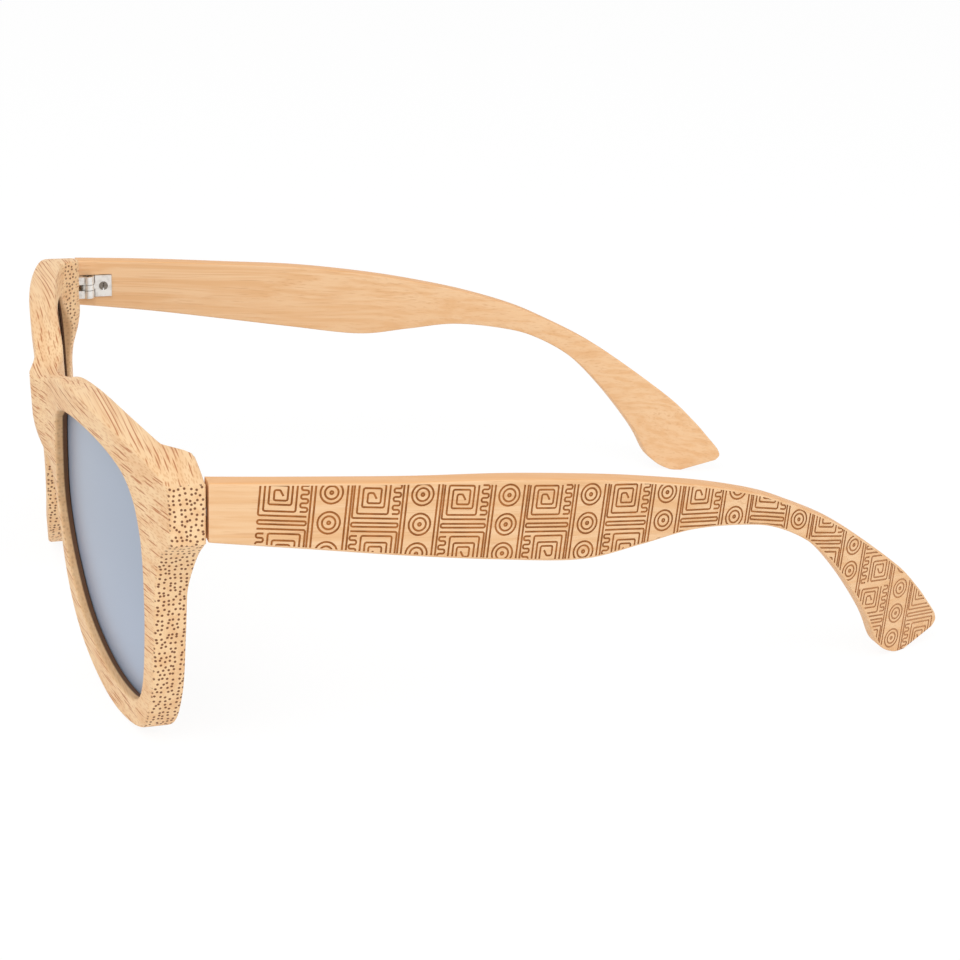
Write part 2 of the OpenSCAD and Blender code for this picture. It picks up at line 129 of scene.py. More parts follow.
def front_face_y(x, z):
    """The same with the crest of the bridge on it."""
    rise = z - BRIDGE_Z + BRIDGE_H - BRIDGE_CREST_FADE[1]
    crest = BRIDGE_CREST * math.exp(-(x / BRIDGE_CREST_SPREAD) ** 2)
    return lens_face_y(x, z) - crest * smooth(rise / (BRIDGE_CREST_FADE[0] - BRIDGE_CREST_FADE[1]))


def back_depth(x, z):
    """Depth of the wood, with the nose rests, down to the flat joint plane at the end blocks."""
    off = [(v - m) / s for v, m, s in zip((x, z), NOSE_REST_AT, NOSE_REST_SPREAD)]
    plain = FRONT_T + NOSE_REST * math.exp(-off[0] ** 2 - off[1] ** 2)
    share = (smooth((x - HALF_W + END_BLOCK_X[0]) / (END_BLOCK_X[0] - END_BLOCK_X[1]))
             * smooth((z - END_Z + END_H / 2 + END_BLOCK_Z[0]) / (END_BLOCK_Z[0] - END_BLOCK_Z[1])))
    return plain * (1 - share) - front_face_y(x, z) * share


def edge_normal(k):
    """The way out of the rim; at the bridge, out of the half towards the other one."""
    if k <= SEAM_LAST:
        return np.array({0: (0, 1), SEAM_LAST: (0, -1)}.get(k, (-1, 0)), float)
    along = STATIONS[(k + 1) % len(STATIONS)][2] - STATIONS[k - 1][2]
    return np.array([along[1], -along[0]]) / np.linalg.norm(along)


GROOVE_BACK = GROOVE_SET + LENS_T + 2 * LENS_FIT
BURN_AND_SHADE_W = 1.1
EDGE_SLANT, SEAM_SNAP = 0.45, 1e-6
ARC = [math.radians(a) for a in (0, 18, 36, 54, 72, 90)]
FACE_SHARES = (0.12, 0.26, 0.42, 0.58, 0.74, 0.88)


def rim_section(k):
    """Rows of place across the rim, depth, face that the depth is taken from, and a mark for the burnt edge
    at the lens, darkened further as painted shade of the groove.
    """
    t, inner, outer = STATIONS[k]
    across = outer - inner
    width = np.linalg.norm(across)
    inset = min(EDGE_R / max(EDGE_SLANT, float(across @ edge_normal(k)) / width), width / 3)
    is_open = k == 0 or k >= SEAM_LAST
    run = min(t, 1 - t) * BRIDGE_H
    drop = EDGE_R - math.sqrt(EDGE_R ** 2 - (EDGE_R - run) ** 2) if run < EDGE_R else 0.0
    flat = width - inset - INNER_R
    lens_side = [(INNER_R * (1 - math.sin(a)), INNER_R * (1 - math.cos(a))) for a in ARC[::-1]]
    faces = [(INNER_R + f * flat, 0.0) for f in FACE_SHARES]
    outside = [(width - inset * (1 - math.sin(a)), EDGE_R * (1 - math.cos(a)) if is_open else drop)
               for a in ARC]
    around = lens_side + faces + outside
    return ([(0, GROOVE_SET, "lens", 1), (0, GROOVE_SET - BURN_AND_SHADE_W, "lens", 0)]
            + [(p, d, "front", 0) for p, d in around] + [(p, -d, "back", 0) for p, d in around[::-1]]
            + [(0, GROOVE_BACK + BURN_AND_SHADE_W / 2, "lens", 0), (0, GROOVE_BACK, "lens", 1),
               (GROOVE_DEPTH, GROOVE_BACK, "lens", 1), (GROOVE_DEPTH, GROOVE_SET, "lens", 1)])


def rim_point(k, place, depth, face):
    """A row of the section as a point; the outer edge at the bridge lies on the middle plane."""
    inner, outer = STATIONS[k][1:]
    x, z = inner + (outer - inner) * place / np.linalg.norm(outer - inner)
    if k <= SEAM_LAST and place > np.linalg.norm(outer - inner) - SEAM_SNAP:
        x = 0.0
    if face == "lens":
        return x, lens_face_y(x, z) + depth, z
    return x, front_face_y(x, z) + depth + (back_depth(x, z) if face == "back" else 0), z


sections = [rim_section(k) for k in range(len(STATIONS))]
SECTION = len(sections[0])
half = np.array([rim_point(k, *row[:3]) for k, rows in enumerate(sections) for row in rows])
burn_and_shade_marks = [row[3] for rows in sections for row in rows]
walls = [max(0.0, 1 - row[0] / INNER_R) for rows in sections for row in rows]
SEAM_FACE = 2 + len(ARC) + len(FACE_SHARES) + len(ARC) - 1
rim_quads = []
for k in range(len(STATIONS)):
    for i in range(SECTION):
        if i == SEAM_FACE and k < SEAM_LAST:
            continue
        here, there = k * SECTION, (k + 1) % len(STATIONS) * SECTION
        rim_quads.append((here + i, there + i, there + (i + 1) % SECTION, here + (i + 1) % SECTION))
mirrored_quads = [tuple(v + len(half) for v in q[::-1]) for q in rim_quads]


# Meshes are drawn in millimetres, with the joint plane between end pieces and temples at y = 0.
# The pivot screws stand PIVOT_Y behind that plane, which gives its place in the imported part.
MM = 0.001
PIVOT_Y = 2.4
SHARP_EDGE = math.radians(34)
screw_y = [v.co.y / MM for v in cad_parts["hinge_screw_left"].data.vertices]
JOINT_Y = (min(screw_y) + max(screw_y)) / 2 - PIVOT_Y


def mesh_object(name, points, faces, materials):
    data = bpy.data.meshes.new(name)
    shifted = (np.asarray(points, float) + [0, JOINT_Y, 0]) * MM
    data.from_pydata(shifted.tolist(), [], faces)
    for material in materials:
        data.materials.append(material)
    made = bpy.data.objects.new(name, data)
    scene.collection.objects.link(made)
    return made


def finish_mesh(made, weld=0.001 * MM, sharp=SHARP_EDGE):
    """Welds touching points, turns the faces outwards and shades all but sharp edges smoothly."""
    shape = bmesh.new()
    shape.from_mesh(made.data)
    bmesh.ops.remove_doubles(shape, verts=shape.verts, dist=weld)
    bmesh.ops.recalc_face_normals(shape, faces=shape.faces)
    shape.to_mesh(made.data)
    shape.free()
    made.data.shade_smooth()
    made.data.set_sharp_from_angle(angle=sharp)


def cut_box(made, low, high):
    """Cuts a box, given in millimetres, out of a closed mesh."""
    (x0, y0, z0), (x1, y1, z1) = low, high
    corners = [(x, y, z) for x in (x0, x1) for y in (y0, y1) for z in (z0, z1)]
    sides = [(0, 1, 3, 2), (4, 6, 7, 5), (0, 4, 5, 1), (2, 3, 7, 6), (0, 2, 6, 4), (1, 5, 7, 3)]
    tool = mesh_object("cutter", corners, sides, [])
    cut = made.modifiers.new("pocket", "BOOLEAN")
    cut.operation = "DIFFERENCE"
    cut.solver = "EXACT"
    cut.object = tool
    ready = made.evaluated_get(bpy.context.evaluated_depsgraph_get())
    result = bpy.data.meshes.new_from_object(ready)
    made.modifiers.clear()
    made.data = result
    bpy.data.objects.remove(tool)


# Colours are written as they look on a screen, and shaders take them as linear light.
def tint(red, green, blue):
    return (*(((c / 255 + 0.055) / 1.055) ** 2.4 for c in (red, green, blue)), 1.0)


class Wire:
    """A shader output that can be added, multiplied and so on like a number."""

    def __init__(self, net, socket):
        self.net = net
        self.socket = socket

    def _maths(self, operation, *values):
        return self.net.node("ShaderNodeMath", {"operation": operation}, *values)

    def __add__(self, other):
        return self._maths("ADD", self, other)

    def __radd__(self, other):
        return self._maths("ADD", other, self)

    def __sub__(self, other):
        return self._maths("SUBTRACT", self, other)

    def __rsub__(self, other):
        return self._maths("SUBTRACT", other, self)

    def __mul__(self, other):
        return self._maths("MULTIPLY", self, other)

    def __rmul__(self, other):
        return self._maths("MULTIPLY", other, self)

    def step(self, low, high):
        """0 below low, 1 above high and smooth between; low may be the larger of the two."""
        settings = {"interpolation_type": "SMOOTHSTEP"}
        return self.net.node("ShaderNodeMapRange", settings, self, low, high, 0.0, 1.0)

    def beside(self, name):
        """Another output of the same node."""
        return Wire(self.net, self.socket.node.outputs[name])


class Net:
    """A tree whose nodes are made one call at a time."""

    def __init__(self, tree):
        self.tree = tree

    def node(self, kind, settings, *sockets, out=0):
        """One node: its settings first, then its sockets in order, or as pairs of place and value."""
        made = self.tree.nodes.new(kind)
        for name, value in settings.items():
            setattr(made, name, value)
        for place, value in enumerate(sockets):
            if isinstance(value, tuple) and len(value) == 2:
                place, value = value
            self.join(value, made.inputs[place])
        return Wire(self, made.outputs[out])

    def join(self, value, socket):
        if isinstance(value, Wire):
            self.tree.links.new(value.socket, socket)
        elif isinstance(value, list):
            for wire in value:
                self.tree.links.new(wire.socket, socket)
        else:
            socket.default_value = value

    def at(self, x, y, z):
        return self.node("ShaderNodeCombineXYZ", {}, x, y, z)


class Paint(Net):
    """A material on the usual shader."""

    def __init__(self, name):
        self.material = bpy.data.materials.new(name)
        self.material.use_nodes = True
        super().__init__(self.material.node_tree)
        self.shader = self.tree.nodes["Principled BSDF"]

    def set(self, **inputs):
        for name, value in inputs.items():
            self.join(value, self.shader.inputs[name.replace("_", " ")])

    def place(self):
        """The object's own coordinates in millimetres, as three numbers."""
        where = self.node("ShaderNodeTexCoord", {}, out=3)
        split = self.node("ShaderNodeSeparateXYZ", {}, where)
        return [split.beside(axis) * (1 / MM) for axis in "XYZ"]

    def noise(self, where, detail=2.0):
        return self.node("ShaderNodeTexNoise", {}, ("Vector", where), ("Scale", 1.0), ("Detail", detail))

    def cells(self, where, randomness):
        settings = {"feature": "F1", "voronoi_dimensions": "2D"}
        return self.node("ShaderNodeTexVoronoi", settings, ("Vector", where), ("Scale", 1.0),
                         ("Randomness", randomness))

    def mix(self, share, first, second):
        """The first colour where share is 0, the second where it is 1."""
        return self.node("ShaderNodeMix", {"data_type": "RGBA"}, (0, share), (6, first), (7, second), out=2)

    def attribute(self, name):
        return self.node("ShaderNodeAttribute", {"attribute_name": name}, out=2)

    def bump(self, height, strength, distance):
        return self.node("ShaderNodeBump", {}, ("Strength", strength), ("Distance", distance * MM),
                         ("Height", height))


# Bamboo of the front: fibre bundles along X show as dots on the end grain, as short dashes
# where a face cuts them at a slant, and as long streaks on the top.
PALE, STRAW = tint(249, 212, 165), tint(240, 195, 146)
# The second colour here is painted shade for the inner walls of the lens openings.
FINE_FIBRE, PAINTED_WALL_SHADE = tint(204, 136, 76), tint(190, 144, 96)
# The last of these is burnt wood by the lens, darkened further as painted shade of the lens groove.
DASH, PIT, CHAR_AND_SHADE = tint(182, 102, 48), tint(104, 48, 14), tint(74, 40, 18)
DOTS_PER_MM, FINE_PER_MM, PIT_DEPTH = 1.22, 2.7, 0.08
paint = Paint("front_bamboo")
x, y, z = paint.place()
sway = (paint.noise(paint.at(x * 0.02, y * 0.04, z * 0.04)) - 0.5) * 2.6
fibre_y, fibre_z = y + sway, z + sway * 0.6
end_grain = paint.attribute("end_grain").step(0.3, 0.75)
top_grain = paint.attribute("top_grain").step(0.4, 0.8)
wall = paint.attribute("wall")
length = paint.noise(paint.at(x * 0.07, fibre_y * 0.9, fibre_z * 0.9)).step(0.32, 0.46)
dots = paint.cells(paint.at(fibre_y * DOTS_PER_MM, fibre_z * DOTS_PER_MM, 0.0), 0.62).step(0.31, 0.19)
dots = dots * (1.0 - wall * 0.8)
face_dashes = paint.cells(paint.at(fibre_y * 0.4, fibre_z * 1.6, 0.0), 0.9).step(0.25, 0.13)
top_dashes = paint.cells(paint.at(fibre_y * 1.7, fibre_z * 0.45, 3.0), 0.9).step(0.25, 0.13)
dashes = (face_dashes * (1.0 - top_grain) + top_dashes * top_grain) * length * (1.0 - wall)
fine = paint.cells(paint.at(fibre_y * FINE_PER_MM, fibre_z * FINE_PER_MM, 0.0), 1.0).step(0.4, 0.15)
soft = paint.noise(paint.at(x * 0.012, fibre_y * 0.5, fibre_z * 0.5), 3.0)
wood = paint.mix(soft.step(0.35, 0.7), PALE, STRAW)
wood = paint.mix(fine * (0.36 - end_grain * 0.24), wood, FINE_FIBRE)
# Painted shade on the inner walls of the lens openings.
wood = paint.mix(wall * 0.5, wood, PAINTED_WALL_SHADE)
wood = paint.mix(dashes * (1.0 - end_grain) * 0.8, wood, DASH)
wood = paint.mix(dots * end_grain * 0.92, wood, PIT)
# Burnt wood at the lens groove, darkened further as painted shade where the wall meets the lens.
wood = paint.mix(paint.attribute("burn").step(0.15, 0.45) * 0.94, wood, CHAR_AND_SHADE)
paint.set(Base_Color=wood, Roughness=0.5 + soft * 0.12, Specular_IOR_Level=0.3)
hollows = dots * end_grain + dashes * (1.0 - end_grain) * 0.5
paint.set(Normal=paint.bump(hollows * -1.0, 0.3, PIT_DEPTH))
both_halves = np.vstack([half, half * [-1, 1, 1]])
front = mesh_object("front_wood", both_halves, rim_quads + mirrored_quads, [paint.material])
for name, values in (("burn", burn_and_shade_marks), ("wall", walls)):
    marks = front.data.attributes.new(name, "FLOAT", "POINT")
    marks.data.foreach_set("value", np.array(values + values, np.float32))
finish_mesh(front)

# Pockets for the hinge leaves, open to the back of the end pieces
HINGE_DROP, HINGE_H, LEAF_W, LEAF_T, LEAF_FIT = 0.6, 4.5, 2.4, 1.1, 0.1
TEMPLE_T, PIVOT_IN, KNUCKLE_R = 3.4, 0.3, 1.35
HINGE_Z = END_Z - HINGE_DROP
PIVOT_X = HALF_W - TEMPLE_T - PIVOT_IN
LEAF_X = (PIVOT_X - KNUCKLE_R - LEAF_W - LEAF_FIT, PIVOT_X + KNUCKLE_R + LEAF_FIT)
POCKET_Z = (HINGE_Z - HINGE_H / 2 - LEAF_FIT, HINGE_Z + HINGE_H / 2 + LEAF_FIT)
cut_box(front, (LEAF_X[0], -LEAF_T, POCKET_Z[0]), (LEAF_X[1], LEAF_T, POCKET_Z[1]))
cut_box(front, (-LEAF_X[1], -LEAF_T, POCKET_Z[0]), (-LEAF_X[0], LEAF_T, POCKET_Z[1]))
front.data.set_sharp_from_angle(angle=SHARP_EDGE)
for name, axis in (("end_grain", 0), ("top_grain", 2)):
    marks = front.data.attributes.new(name, "FLOAT", "POINT")
    facing = [abs(v.normal[axis]) for v in front.data.vertices]
    marks.data.foreach_set("value", np.array(facing, np.float32))
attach(front, "front")
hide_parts("front_frame")

# Lenses: thin curved sheets with a blue-grey mirror coat in front and a brown tint behind.
# Their edges sit in the grooves of the front.
LENS_RINGS = 16
MIRROR, MIRROR_LOW = tint(156, 168, 187), tint(163, 176, 197)
BROWN_LOW, BROWN_TOP = tint(150, 120, 96), tint(132, 104, 84)
paint = Paint("lens_mirror")
z = paint.place()[2]
paint.set(Base_Color=paint.mix(z.step(34.0, 10.0), MIRROR, MIRROR_LOW))
paint.set(Metallic=0.1, Roughness=0.3, Specular_IOR_Level=0.3)
lens_front = paint.material
paint = Paint("lens_back")
z = paint.place()[2]
paint.set(Base_Color=paint.mix(z.step(8.0, 44.0), BROWN_LOW, BROWN_TOP))
paint.set(Roughness=0.12, Specular_IOR_Level=0.5)
lens_back = paint.material


def lens_outline(k):
    inner, outer = STATIONS[k][1:]
    return inner + (outer - inner) / np.linalg.norm(outer - inner) * (GROOVE_DEPTH - LENS_FIT)


outline = np.array([lens_outline(k) for k in range(len(STATIONS))])
centre = outline.mean(axis=0)
for side, name in ((1, "lens_left"), (-1, "lens_right")):
    points, faces, marks = [], [], []
    count = len(outline)
    for depth, mark in ((GROOVE_SET + LENS_FIT, 0), (GROOVE_SET + LENS_FIT + LENS_T, 1)):
        start = len(points)
        for ring in range(1, LENS_RINGS + 1):
            for px, pz in centre + (outline - centre) * ring / LENS_RINGS:
                points.append((side * px, lens_face_y(px, pz) + depth, pz))
        points.append((side * centre[0], lens_face_y(*centre) + depth, centre[1]))
        for k in range(count):
            n = (k + 1) % count
            faces.append((start + k, start + n, len(points) - 1))
            marks.append(mark)
            for ring in range(LENS_RINGS - 1):
                a, b = start + ring * count, start + (ring + 1) * count
                faces.append((a + k, b + k, b + n, a + n))
                marks.append(mark)
    edge_a, edge_b = (LENS_RINGS - 1) * count, LENS_RINGS * count + 1 + (LENS_RINGS - 1) * count
    for k in range(count):
        n = (k + 1) % count
        faces.append((edge_a + k, edge_a + n, edge_b + n, edge_b + k))
        marks.append(1)
    pane = mesh_object(name + "_pane", points, faces, [lens_front, lens_back])
    pane.data.polygons.foreach_set("material_index", np.array(marks, np.int32))
    finish_mesh(pane)
    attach(pane, "front")
    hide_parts(name)

# Temples: flat boards of pale bamboo, cut to a long curve and bent inwards, with the grain
# along them. The outer face carries a burnt ornament of rings, bars and square meanders.
TEMPLE_REACH, TEMPLE_H, TEMPLE_EDGE, JOINT_GAP = 140.0, 13.3, 0.35, 0.35
SPLAY, TIP_IN = math.tan(math.radians(3.8)), 22.5
# Middle line of a board: share of the reach, of the hinge's height and of the depth, lean in degrees
TEMPLE = [np.array(row, float) for row in [
    (0.000, 1.018, 0.70, 0), (0.111, 0.983, 0.79, 5), (0.219, 0.944, 0.89, 7), (0.329, 0.906, 0.99, 8),
    (0.436, 0.864, 1.00, 9), (0.517, 0.853, 0.80, 17), (0.586, 0.842, 0.58, 24), (0.657, 0.800, 0.44, 32),
    (0.710, 0.744, 0.35, 36), (0.771, 0.641, 0.39, 44), (0.827, 0.497, 0.54, 46), (0.887, 0.309, 0.78, 48),
    (0.917, 0.186, 0.93, 53), (0.932, 0.129, 0.965, 62), (0.945, 0.086, 0.965, 68), (0.953, 0.065, 0.90, 68),
    (0.959, 0.047, 0.80, 69), (0.963, 0.036, 0.60, 69)]]
TEMPLE_STEPS = 12
TEMPLE_ROWS = [open_point(TEMPLE, i, k / TEMPLE_STEPS) for i in range(len(TEMPLE) - 1)
               for k in range(TEMPLE_STEPS)] + [TEMPLE[-1]]


def plan_in(y):
    """How far the board has bent inwards."""
    share = max(y, 0) / TEMPLE_REACH
    return -SPLAY * max(y, 0) + (TIP_IN + SPLAY * TEMPLE_REACH) * share ** 2


def temple_yz(row, q):
    """The spot at height q over the middle line."""
    lean = math.radians(row[3])
    y = JOINT_GAP + row[0] * (TEMPLE_REACH - JOINT_GAP) + q * math.sin(lean)
    return y, row[1] * HINGE_Z + q * math.cos(lean)


def outer_x(y):
    return HALF_W - plan_in(y)


# The body: sections with rounded corners, closed at both ends
TURNS = [math.radians(a) for a in (0, 22.5, 45, 67.5, 90)]
CORNER_SIGNS = ((1, 1), (-1, 1), (-1, -1), (1, -1))
SIDES = len(TURNS) * len(CORNER_SIGNS)
body_points = []
for row in TEMPLE_ROWS:
    reach_x, reach_q = TEMPLE_T / 2 - TEMPLE_EDGE, row[2] * TEMPLE_H / 2 - TEMPLE_EDGE
    for c, (sx, sq) in enumerate(CORNER_SIGNS):
        for a in TURNS:
            turn = a + c * math.pi / 2
            py, pz = temple_yz(row, sq * reach_q + TEMPLE_EDGE * math.sin(turn))
            px = outer_x(py) - TEMPLE_T / 2 + sx * reach_x + TEMPLE_EDGE * math.cos(turn)
            body_points.append((px, py, pz))
LAST_SECTION = (len(TEMPLE_ROWS) - 1) * SIDES
body_faces = [(k + j, k + (j + 1) % SIDES, k + SIDES + (j + 1) % SIDES, k + SIDES + j)
              for k in range(0, LAST_SECTION, SIDES) for j in range(SIDES)]
body_faces += [tuple(range(SIDES))[::-1], tuple(LAST_SECTION + j for j in range(SIDES))]

# Bamboo of the temples: pale, with fine straight grain, and a burnt brown in the lines that
# gets paler towards the tip.
BOARD_PALE, BOARD_STREAK, BOARD_FIBRE = tint(243, 202, 157), tint(234, 185, 134), tint(206, 146, 92)
BOARD_TONE, BOARD_RIM = tint(238, 190, 140), tint(232, 168, 106)
BURN_DARK, BURN_LIGHT = tint(166, 104, 52), tint(190, 124, 66)
BURN_FADED, BURN_TIP = tint(190, 138, 92), tint(214, 168, 126)
paint = Paint("temple_bamboo")
x, y, z = paint.place()
sway = paint.noise(paint.at(x * 0.1, y * 0.012, z * 0.1)) * 6.0
grain_x, grain_z = x + sway, z + sway + y * 0.06
streak = paint.noise(paint.at(grain_x * 0.8, y * 0.018, grain_z * 0.9), 4.0)
fibre = paint.noise(paint.at(grain_x * 3.0, y * 0.05, grain_z * 4.5), 2.0)
tone = paint.noise(paint.at(grain_x * 0.12, y * 0.01, grain_z * 0.16), 1.0)
wood = paint.mix(streak.step(0.38, 0.68), BOARD_PALE, BOARD_STREAK)
wood = paint.mix(fibre.step(0.52, 0.75) * 0.42, wood, BOARD_FIBRE)
wood = paint.mix(tone.step(0.35, 0.7) * 0.3, wood, BOARD_TONE)
wood = paint.mix(paint.attribute("rim").step(0.5, 0.8) * 0.55, wood, BOARD_RIM)
paint.set(Base_Color=wood, Roughness=0.48 + streak * 0.12, Specular_IOR_Level=0.35)
paint.set(Normal=paint.bump(fibre, 0.12, 0.05))
temple_wood = paint.material
paint = Paint("temple_burn")
x, y, z = paint.place()
blotch = paint.noise(paint.at(x * 0.5, y * 0.5, z * 0.5), 3.0)
brown = paint.mix(blotch.step(0.35, 0.65), BURN_DARK, BURN_LIGHT)
brown = paint.mix(y.step(-40.0, 60.0) * 0.3, brown, BURN_FADED)
brown = paint.mix(y.step(40.0, 76.0) * 0.75, brown, BURN_TIP)
paint.set(Base_Color=brown, Roughness=0.75, Specular_IOR_Level=0.2)
temple_burn = paint.material

# Ornament in its own plane: a runs along the temple, b down from the middle row of rings. Columns of
# rings between pairs of lines take turns with columns of square blocks.
RING_FIRST, RING_PITCH, RING_COUNT, RING_RISE = 18.2, 14.21, 9, 4.75
RING_RADII = (0.22, 1.03, 1.72)
RING_SIDES, STRIP_POINTS, TURN_POINTS, RIBBON_WELD = 28, 4, 2, 0.001
RING_ROWS = range(-1, 7)
LINE_W, LINE_DEPTH, LINE_TURN = 0.32, 0.14, 0.26
RING_LINES, RING_LINE_DROP = (-3.07, -2.45, 2.45, 3.07), 0.7
BLOCK_LEFT, BLOCK_W, BLOCK_H, BLOCK_DROP = 3.45, 7.3, 13.1, 0.2
BLOCK_ROWS, BLOCK_RISE = range(-1, 3), 14.25
BLOCK_SAG, BLOCK_SAG_FROM, BLOCK_SAG_OVER = 5.4, 98.0, 20.0
BLOCK_CORNER, LOOP_H = 5.5, 0.62
COMB_LEFT, COMB_STEP, COMB_TEETH = 6.2, 0.68, 8
MEANDER = [(5.55, 0), (5.55, 4.8), (0.7, 4.8), (0.7, 0.1), (4.85, 0.1), (4.85, 3.75), (1.4, 3.75),
           (1.4, 0.75), (4.2, 0.75), (4.2, 3.1), (2.15, 3.1), (2.15, 1.5), (3.0, 1.5), (3.55, 2.4)]
ROW_Z, ROW_SLOPE, COLUMN_LEAN = 42.98, 0.1035, 0.084
ROW_SAG, ROW_SAG_FROM, ROW_SAG_OVER = 2.35, 88.0, 26.0
ALONG_COUNT = 281
ALONG_Y = np.linspace(0, TEMPLE_REACH, ALONG_COUNT)
ALONG_STEPS = np.hypot(np.diff(ALONG_Y), np.diff([plan_in(y) for y in ALONG_Y]))
ALONG = np.concatenate([[0], np.cumsum(ALONG_STEPS)])


def ornament_yz(a, b):
    """The rows fall a little towards the tip, and the columns lean."""
    y = float(np.interp(a - COLUMN_LEAN * b, ALONG, ALONG_Y))
    return y, ROW_Z - ROW_SLOPE * a - ROW_SAG * smooth((y - ROW_SAG_FROM) / ROW_SAG_OVER) - b


def comb(left, right, top, step, teeth):
    """A line that runs to and fro on its way down."""
    path = []
    for i in range(teeth):
        ends = (left, right) if i % 2 == 0 else (right, left)
        path += [(ends[0], top + i * step), (ends[1], top + i * step)]
    return path


def block_paths():
    """The upper half of a block, the same turned round below it, and a long loop between."""
    corner = [(0, 0), (0, BLOCK_CORNER), (BLOCK_W, BLOCK_CORNER)]
    upper = [corner, MEANDER, comb(COMB_LEFT, BLOCK_W, 0, COMB_STEP, COMB_TEETH)]
    lower = [[(BLOCK_W - u, BLOCK_H - v) for u, v in path] for path in upper]
    bars = [(BLOCK_H - LOOP_H) / 2, (BLOCK_H + LOOP_H) / 2]
    loop = [(BLOCK_W / 2, bars[0]), (BLOCK_W, bars[0]), (BLOCK_W, bars[1]), (0, bars[1]), (0, bars[0]),
            (BLOCK_W / 2, bars[0])]
    return upper + lower + [loop]


# The whole ornament as flat ribbons: a tile with three rings between two pairs of lines, and a
# block of meanders, each laid out in columns and rows. Blocks near the tip sit lower.
ORNAMENT = {"line_width": LINE_W, "line_turn": LINE_TURN, "pitch": RING_PITCH, "ring_first": RING_FIRST,
            "ring_rise": RING_RISE, "block_first": RING_FIRST - RING_PITCH + BLOCK_LEFT,
            "block_rise": BLOCK_RISE, "block_drop": BLOCK_DROP, "block_sag": BLOCK_SAG}
group = bpy.data.node_groups.new("temple_ornament", "GeometryNodeTree")
group.interface.new_socket("paths", in_out="INPUT", socket_type="NodeSocketGeometry")
group.interface.new_socket("ribbons", in_out="OUTPUT", socket_type="NodeSocketGeometry")
ornament_sockets = {name: group.interface.new_socket(name, in_out="INPUT", socket_type="NodeSocketFloat")
                    for name in ORNAMENT}
net = Net(group)
paths = net.node("NodeGroupInput", {})
size = {name: paths.beside(name) for name in ORNAMENT}
nib = net.node("GeometryNodeCurvePrimitiveLine", {}, net.at(size["line_width"] * -0.5, 0.0, 0.0),
               net.at(size["line_width"] * 0.5, 0.0, 0.0))


def columns_and_rows(piece, columns, first, rows, rise, sag=0.0):
    """The piece at every column and row."""
    wide, high = size["pitch"] * (columns - 1.0), rise * (len(rows) - 1.0)
    spots = net.node("GeometryNodeMeshGrid", {}, wide, high, columns, len(rows))
    middle = net.at(wide * 0.5 + first, rise * ((rows[0] + rows[-1]) / 2), 0.0)
    spots = net.node("GeometryNodeSetPosition", {}, ("Geometry", spots), ("Offset", middle))
    spots = net.node("GeometryNodeSetPosition", {}, ("Geometry", spots), ("Offset", net.at(0.0, sag, 0.0)))
    return net.node("GeometryNodeInstanceOnPoints", {}, ("Points", spots), ("Instance", piece))


rings = [net.node("GeometryNodeCurvePrimitiveCircle", {}, ("Resolution", RING_SIDES), ("Radius", radius))
         for radius in RING_RADII]
rings = net.node("GeometryNodeCurveToMesh", {}, net.node("GeometryNodeJoinGeometry", {}, rings), nib)
strip = net.node("GeometryNodeMeshGrid", {}, size["line_width"], size["ring_rise"], 2, STRIP_POINTS)
strips = [net.node("GeometryNodeTransform", {}, ("Geometry", strip),
                   ("Translation", (line, RING_LINE_DROP, 0.0))) for line in RING_LINES]
tile = net.node("GeometryNodeJoinGeometry", {}, [rings] + strips)
block = net.node("GeometryNodeMeshToCurve", {}, paths)
block = net.node("GeometryNodeFilletCurve", {"mode": "POLY"}, ("Curve", block), ("Count", TURN_POINTS),
                 ("Radius", size["line_turn"]), ("Limit Radius", True))
block = net.node("GeometryNodeCurveToMesh", {}, block, nib)
spot_x = net.node("ShaderNodeSeparateXYZ", {}, net.node("GeometryNodeInputPosition", {}))
low = (spot_x + BLOCK_W / 2).step(BLOCK_SAG_FROM, BLOCK_SAG_FROM + BLOCK_SAG_OVER) * size["block_sag"]
laid = [columns_and_rows(tile, RING_COUNT, size["ring_first"], RING_ROWS, size["ring_rise"]),
        columns_and_rows(block, RING_COUNT + 1, size["block_first"], BLOCK_ROWS, size["block_rise"],
                         low + size["block_drop"])]
ribbons = net.node("GeometryNodeRealizeInstances", {}, net.node("GeometryNodeJoinGeometry", {}, laid))
ribbons = net.node("GeometryNodeMergeByDistance", {}, ("Geometry", ribbons), ("Distance", RIBBON_WELD))
ribbons = net.node("GeometryNodeSetMaterial", {}, ("Geometry", ribbons), ("Material", temple_burn))
net.join(ribbons, group.nodes.new("NodeGroupOutput").inputs["ribbons"])


def ornament_outlines():
    """The corners of every ribbon's faces, in the ornament's plane."""
    points, edges = [], []
    for path in block_paths():
        edges += [(len(points) + k, len(points) + k + 1) for k in range(len(path) - 1)]
        points += [(u, v - BLOCK_H / 2, 0) for u, v in path]
    data = bpy.data.meshes.new("ornament")
    data.from_pydata(points, edges, [])
    drawing = bpy.data.objects.new("ornament", data)
    scene.collection.objects.link(drawing)
    pen = drawing.modifiers.new("ornament", "NODES")
    pen.node_group = group
    for name, value in ORNAMENT.items():
        pen[ornament_sockets[name].identifier] = value
    ready = drawing.evaluated_get(bpy.context.evaluated_depsgraph_get())
    flat = bpy.data.meshes.new_from_object(ready)
    bpy.data.objects.remove(drawing)
    return [[flat.vertices[v].co[:2] for v in face.vertices] for face in flat.polygons]


FACE_GRID, GRID_MARGIN, FACE_TOP, FACE_EPSILON, FAR_OFF = 2.0, 0.3, 50.0, 1e-5, 99.0


